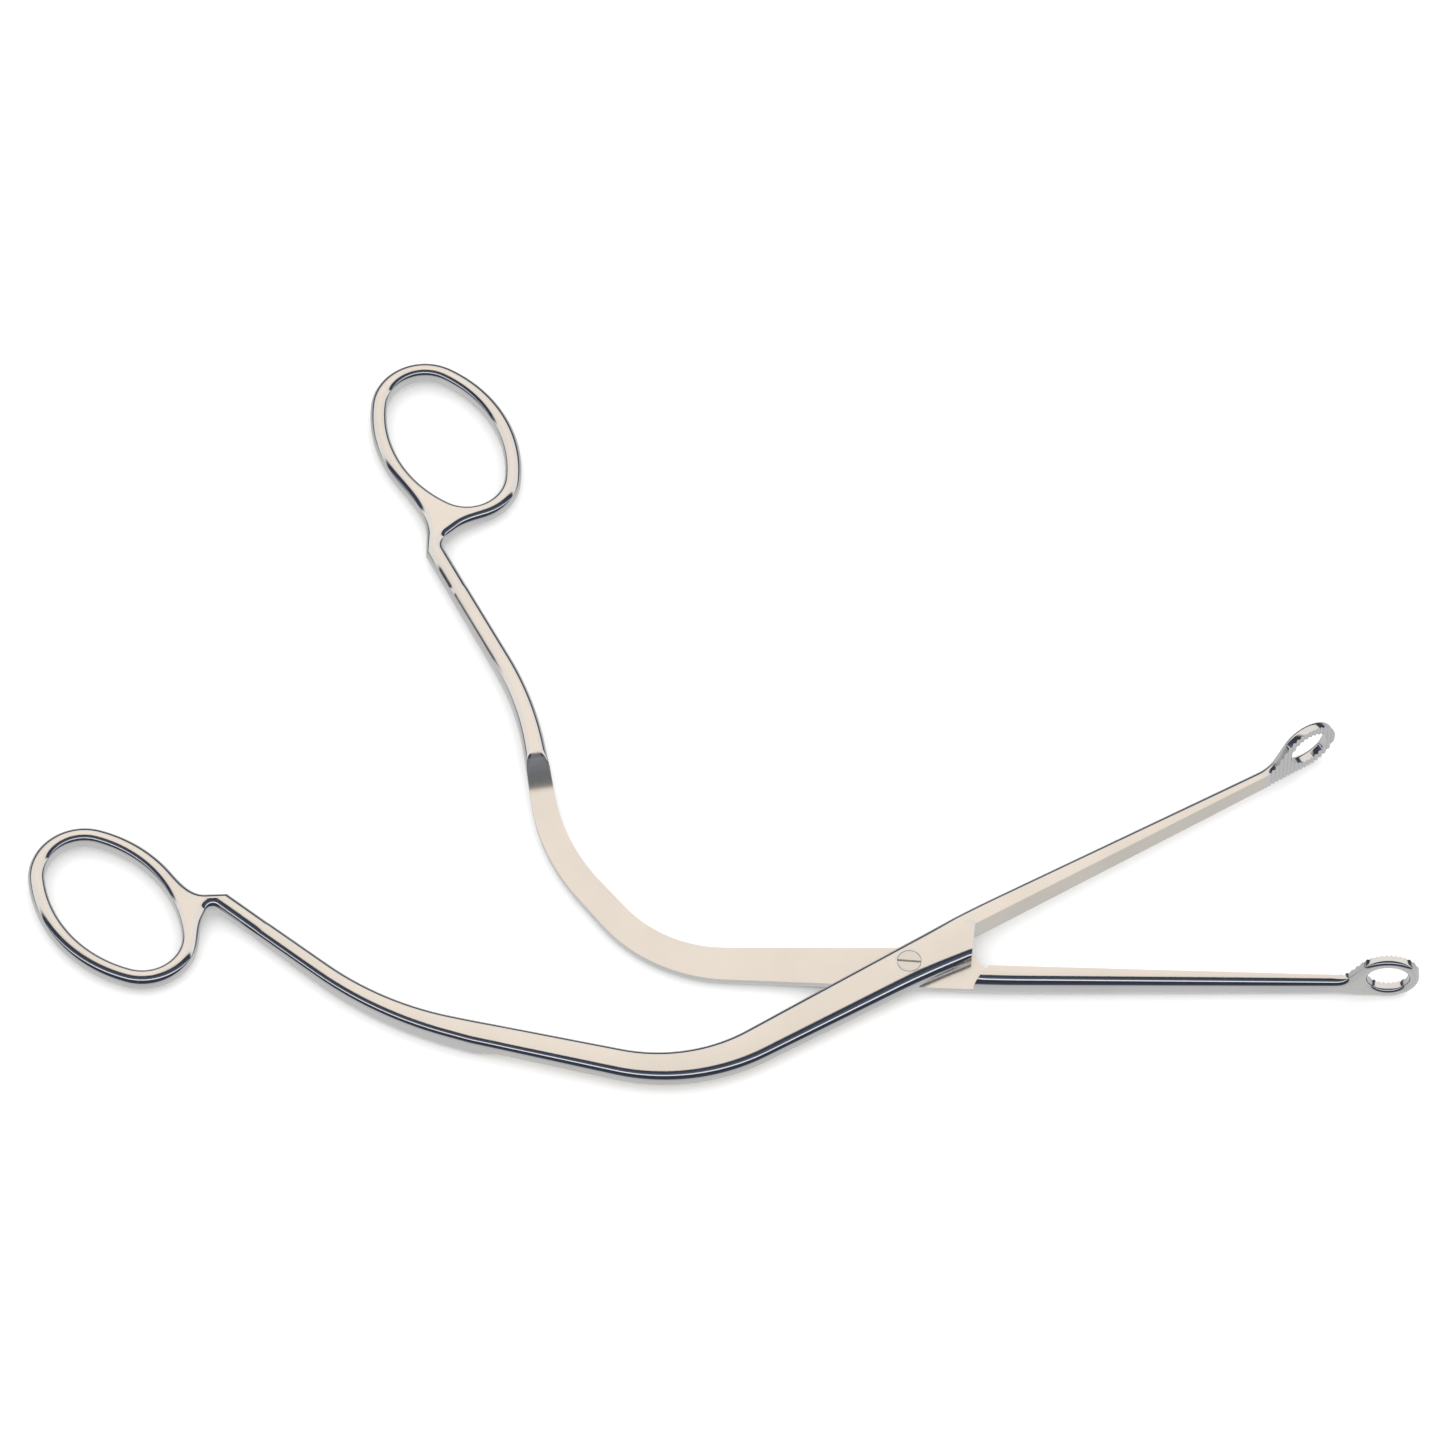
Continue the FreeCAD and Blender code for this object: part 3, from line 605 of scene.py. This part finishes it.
def steelGrainGroup():
    # Fine lapped grain, slow cloudiness and a few hairline scratches, each from 0 to 1
    group = bpy.data.node_groups.new("steelGrain", "ShaderNodeTree")
    for name, default in (("grainSize", 3200.0), ("scratches", 0.5)):
        socket = group.interface.new_socket(name, in_out="INPUT", socket_type="NodeSocketFloat")
        socket.default_value = default
    for name in ("grain", "cloud", "scratch"):
        group.interface.new_socket(name, in_out="OUTPUT", socket_type="NodeSocketFloat")
    given = addNode(group, "NodeGroupInput")
    where = addNode(group, "ShaderNodeTexCoord").outputs["Object"]

    def noise(vector, scale, detail):
        inputs = {"Vector": vector, "Scale": scale, "Detail": detail}
        return addNode(group, "ShaderNodeTexNoise", inputs).outputs[0]

    marks = []
    for turn, stretch in grainLook["scratchRuns"]:
        inputs = {"Vector": where, "Rotation": (0, 0, turn), "Scale": stretch}
        laid = addNode(group, "ShaderNodeMapping", inputs).outputs[0]
        streaks = noise(laid, 1.0, grainLook["scratchDetail"])
        marks.append(spread(group, streaks, grainLook["scratchFrom"], grainLook["scratchTo"]))
    both = calculate(group, "MAXIMUM", marks[0], marks[1])
    addNode(group, "NodeGroupOutput", {
        "grain": noise(where, given.outputs["grainSize"], grainLook["fineDetail"]),
        "cloud": noise(where, grainLook["cloudSize"], grainLook["cloudDetail"]),
        "scratch": calculate(group, "MULTIPLY", both, given.outputs["scratches"]),
    })
    return group


def steel(name, finish):
    # Polished steel that turns satin where the satin attribute is 1
    material = bpy.data.materials.new(name)
    material.use_nodes = True
    tree = material.node_tree
    shader = tree.nodes["Principled BSDF"]
    shader.inputs["Metallic"].default_value = 1.0
    grain = addNode(tree, "ShaderNodeGroup", node_tree=grainGroup)
    for socket in ("grainSize", "scratches"):
        grain.inputs[socket].default_value = finish[socket]
    satin = finish["satinEverywhere"]
    if not satin:
        mask = addNode(tree, "ShaderNodeAttribute", attribute_name="satin").outputs["Fac"]
        satin = spread(tree, mask, *finish["satinEdge"])
    tone = addNode(tree, "ShaderNodeMixRGB", {
        "Fac": satin,
        "Color1": (*finish["polishedColour"], 1), "Color2": (*finish["satinColour"], 1),
    }).outputs[0]
    shade = spread(tree, grain.outputs["cloud"], 0.3, 0.7, finish["cloudShade"], 1.0)
    tinted = addNode(tree, "ShaderNodeVectorMath", {0: tone, 1: shade}, operation="MULTIPLY")
    smooth = finish["polishedRough"]
    rough = calculate(tree, "MULTIPLY_ADD", satin, finish["satinRough"] - smooth, smooth)
    rough = calculate(tree, "MULTIPLY_ADD", grain.outputs["grain"], finish["grainRough"], rough)
    scratch = grain.outputs["scratch"]
    rough = calculate(tree, "MULTIPLY_ADD", scratch, finish["scratchRough"], rough)
    depth = calculate(tree, "MULTIPLY_ADD", satin, 0.9, 0.1)  # polish leaves a tenth of the grain
    height = calculate(tree, "MULTIPLY", grain.outputs["grain"], depth)
    height = calculate(tree, "MULTIPLY_ADD", scratch, finish["scratchDip"], height)
    bump = addNode(tree, "ShaderNodeBump", {
        "Height": height, "Strength": finish["bump"], "Distance": 0.02 * mm,
    })
    tree.links.new(tinted.outputs[0], shader.inputs["Base Color"])
    tree.links.new(bump.outputs[0], shader.inputs["Normal"])
    tree.links.new(rough, shader.inputs["Roughness"])
    return material


grainGroup = steelGrainGroup()
leverFinish = {
    "grainSize": 3200.0, "scratches": 0.5, "satinEverywhere": 0.0, "satinEdge": (0.35, 0.95),
    "polishedColour": (0.72, 0.72, 0.73), "satinColour": (0.80, 0.76, 0.70), "cloudShade": 0.95,
    "polishedRough": 0.07, "satinRough": 0.26, "grainRough": 0.05, "scratchRough": 0.12,
    "scratchDip": -0.4, "bump": 0.35,
}
screwFinish = dict(leverFinish, grainSize=4200.0, scratches=0.9, satinEverywhere=0.8,
                   satinColour=(0.72, 0.69, 0.64), satinRough=0.22, bump=0.3)

print("levers")
lowerLever = makeLever("forgedLowerLever", lowerPath)
upperLever = makeLever("forgedUpperLever", upperPath)
leverSteel = steel("leverSteel", leverFinish)
for piece, node, body in (
    (lowerLever, "lower_lever", "lower_half"), (upperLever, "upper_lever", "upper_half"),
):
    piece.data.materials.clear()
    piece.data.materials.append(leverSteel)
    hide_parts(node)
    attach(piece, body)

print("screw")
screwSteel = steel("screwSteel", screwFinish)
screw = bpy.data.objects["pivot_screw"]
for slot in screw.material_slots:
    slot.material = screwSteel

print("studio")
studio = {
    "floorSize": 3.0, "floorTone": (0.94, 0.94, 0.935), "floorRough": 0.9,
    "floorCloud": 9.0, "floorShade": 0.985, "skyStrength": 1.5,
    # glossy light by angle in degrees from overhead, positive towards the camera's side
    "bands": (
        (-180, (0.72, 0.72, 0.71)), (-100, (0.58, 0.58, 0.57)), (-90, (0.06, 0.07, 0.10)),
        (-66, (0.03, 0.04, 0.06)), (-60, (1.06, 0.99, 0.92)), (-20, (1.06, 0.99, 0.92)),
        (-14, (0.025, 0.03, 0.045)), (8, (0.05, 0.065, 0.10)), (22, (0.10, 0.13, 0.18)),
        (31, (0.06, 0.075, 0.11)), (34, (1.3, 1.3, 1.3)), (43, (1.3, 1.3, 1.3)),
        (46, (0.02, 0.03, 0.055)), (80, (0.035, 0.045, 0.075)), (96, (0.09, 0.09, 0.11)),
        (103, (0.60, 0.60, 0.60)), (150, (0.68, 0.68, 0.67)), (180, (0.72, 0.72, 0.71)),
    ),
}


def makeFloor():
    # Pale plain floor with a hardly visible cloudiness
    size = studio["floorSize"]
    mesh = bpy.data.meshes.new("floor")
    corners = [(-size, -size, 0), (size, -size, 0), (size, size, 0), (-size, size, 0)]
    mesh.from_pydata(corners, [], [(0, 1, 2, 3)])
    floor = bpy.data.objects.new("floor", mesh)
    bpy.context.scene.collection.objects.link(floor)
    material = bpy.data.materials.new("paleFloor")
    material.use_nodes = True
    tree = material.node_tree
    shader = tree.nodes["Principled BSDF"]
    where = addNode(tree, "ShaderNodeTexCoord").outputs["Object"]
    inputs = {"Vector": where, "Scale": studio["floorCloud"], "Detail": 3.0}
    noise = addNode(tree, "ShaderNodeTexNoise", inputs)
    shade = spread(tree, noise.outputs[0], 0.3, 0.7, studio["floorShade"], 1.0)
    inputs = {0: studio["floorTone"], 1: shade}
    tone = addNode(tree, "ShaderNodeVectorMath", inputs, operation="MULTIPLY")
    tree.links.new(tone.outputs[0], shader.inputs["Base Color"])
    shader.inputs["Roughness"].default_value = studio["floorRough"]
    shader.inputs["Specular IOR Level"].default_value = 0.0
    mesh.materials.append(material)
    floor.visible_glossy = False  # the steel mirrors the sky's lower half instead


def makeSky():
    # Even white light for the floor and the eye, and a banded studio for what the steel mirrors
    world = bpy.data.worlds.new("studioSky")
    bpy.context.scene.world = world
    world.use_nodes = True
    tree = world.node_tree
    tree.nodes.clear()
    direction = addNode(tree, "ShaderNodeTexCoord").outputs["Generated"]
    way = addNode(tree, "ShaderNodeSeparateXYZ", {0: direction})
    nearer = calculate(tree, "MULTIPLY", way.outputs[1], -1.0)
    angle = calculate(tree, "ARCTAN2", nearer, way.outputs[2])
    part = calculate(tree, "MULTIPLY_ADD", angle, 0.5 / math.pi, 0.5)
    ramp = addNode(tree, "ShaderNodeValToRGB", {0: part})
    stops = ramp.color_ramp.elements
    while len(stops) > 1:
        stops.remove(stops[-1])
    for index, (degrees, colour) in enumerate(studio["bands"]):
        stop = stops[0] if index == 0 else stops.new(degrees / 360 + 0.5)
        stop.position, stop.color = degrees / 360 + 0.5, (*colour, 1)
    glossy = addNode(tree, "ShaderNodeBackground", {0: ramp.outputs[0], 1: 1.0})
    plain = addNode(tree, "ShaderNodeBackground", {0: (1, 1, 1, 1), 1: studio["skyStrength"]})
    isGlossy = addNode(tree, "ShaderNodeLightPath").outputs["Is Glossy Ray"]
    inputs = {0: isGlossy, 1: plain.outputs[0], 2: glossy.outputs[0]}
    mixed = addNode(tree, "ShaderNodeMixShader", inputs)
    addNode(tree, "ShaderNodeOutputWorld", {0: mixed.outputs[0]})


view = {
    "lens": 249.1, "sensor": 36.0, "farthest": 20.0,
    "place": (-0.0057, -0.9645, 1.5697), "tilt": 33.0, "turn": 1.7,
}


def makeCamera():
    data = bpy.data.cameras.new("camera")
    data.lens, data.sensor_width, data.clip_end = view["lens"], view["sensor"], view["farthest"]
    camera = bpy.data.objects.new("camera", data)
    bpy.context.scene.collection.objects.link(camera)
    camera.location = view["place"]
    camera.rotation_euler = (math.radians(view["tilt"]), 0.0, math.radians(view["turn"]))
    bpy.context.scene.camera = camera


makeFloor()
makeSky()
makeCamera()
bpy.context.scene.view_settings.view_transform = "Standard"

bpy.context.view_layer.update()
